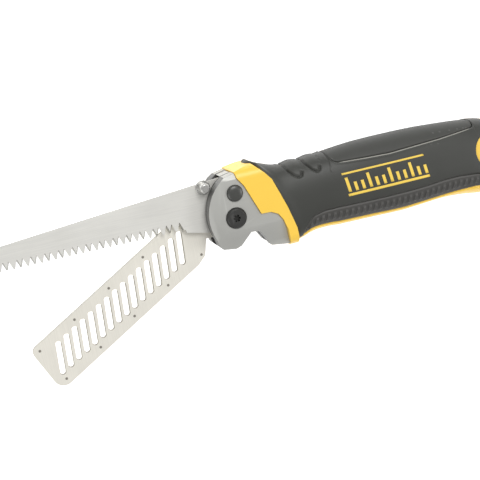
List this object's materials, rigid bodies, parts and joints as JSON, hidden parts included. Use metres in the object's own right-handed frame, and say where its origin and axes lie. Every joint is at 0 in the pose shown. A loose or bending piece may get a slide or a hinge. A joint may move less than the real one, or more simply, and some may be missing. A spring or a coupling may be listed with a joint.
{
  "type": "folding drywall saw",
  "caption": "Folding hand tool with a toothed jab saw and a slotted rasp plate on one pivot, a die-cast head with a lock button and a hollow rubber-covered handle.",
  "frame": {"origin": "middle of the bounding box at its lowest face, the tool lying on its far side with the saw open and the rasp part-way", "axes": "+X from the blade tips to the handle's butt, +Y from the belly (tooth side) to the spine, +Z across the tool towards the lock button"},
  "size_m": [0.301, 0.0951, 0.0316],
  "materials": {
    "die_casting": "bead-blasted die casting",
    "liner_steel": "dark oiled steel",
    "bright_steel": "turned steel",
    "black_steel": "black oxide",
    "bronze": "plain bearing bronze",
    "black_plastic": "matt moulding",
    "yellow_plastic": "satin moulding",
    "black_rubber": "soft overmould",
    "pad_rubber": "ribbed overmould",
    "saw_steel": "ground along its length",
    "rasp_steel": "bright pressed sheet"
  },
  "bodies": {
    "handle": {"head_cheek_near": "die_casting", "head_cheek_far": "die_casting", "liner_near": "liner_steel", "liner_far": "liner_steel", "back_spacer": "black_plastic", "stop_pin": "bright_steel", "head_dowels": "bright_steel", "head_bridge": "die_casting", "pivot_barrel": "black_steel", "pivot_screw": "black_steel", "washer_near": "bronze", "washer_mid": "bronze", "washer_far": "bronze", "lock_seat": "black_plastic", "lock_spring": "bright_steel", "front_collar": "yellow_plastic", "handle_shell_near": "yellow_plastic", "handle_shell_far": "yellow_plastic", "grip_flange_near": "black_rubber", "grip_flange_far": "black_rubber", "grip_near": "black_rubber", "grip_far": "black_rubber", "top_pad": "pad_rubber", "rib_strip_near": "pad_rubber", "rib_strip_far": "pad_rubber", "shell_screws": "bright_steel", "hang_eyelet": "yellow_plastic"},
    "saw": {"saw_blade": "saw_steel", "saw_thumb_stud": "bright_steel"},
    "rasp": {"rasp_carrier": "rasp_steel", "rasp_sheet": "rasp_steel", "rasp_rivets": "bright_steel", "rasp_thumb_stud": "bright_steel"},
    "lock": {"lock_button": "black_plastic", "lock_pin": "bright_steel"}
  },
  "joints": [
    {"name": "saw_pivot", "type": "hinge", "parent": "handle", "child": "saw", "pos_m": [-0.0155, 0.0215, 0.0158], "axis": [0, 0, 1], "range_deg": [0, 180]},
    {"name": "rasp_pivot", "type": "hinge", "parent": "handle", "child": "rasp", "pos_m": [-0.0155, 0.0215, 0.0158], "axis": [0, 0, 1], "range_deg": [-29.2, 152]},
    {"name": "lock_release", "type": "slide", "parent": "handle", "child": "lock", "axis": [0, 0, 1], "range_m": [0, 0.00175], "stiffness_N_per_m": 600, "springref_m": 0.004, "deforming": ["lock_spring"]}
  ]
}
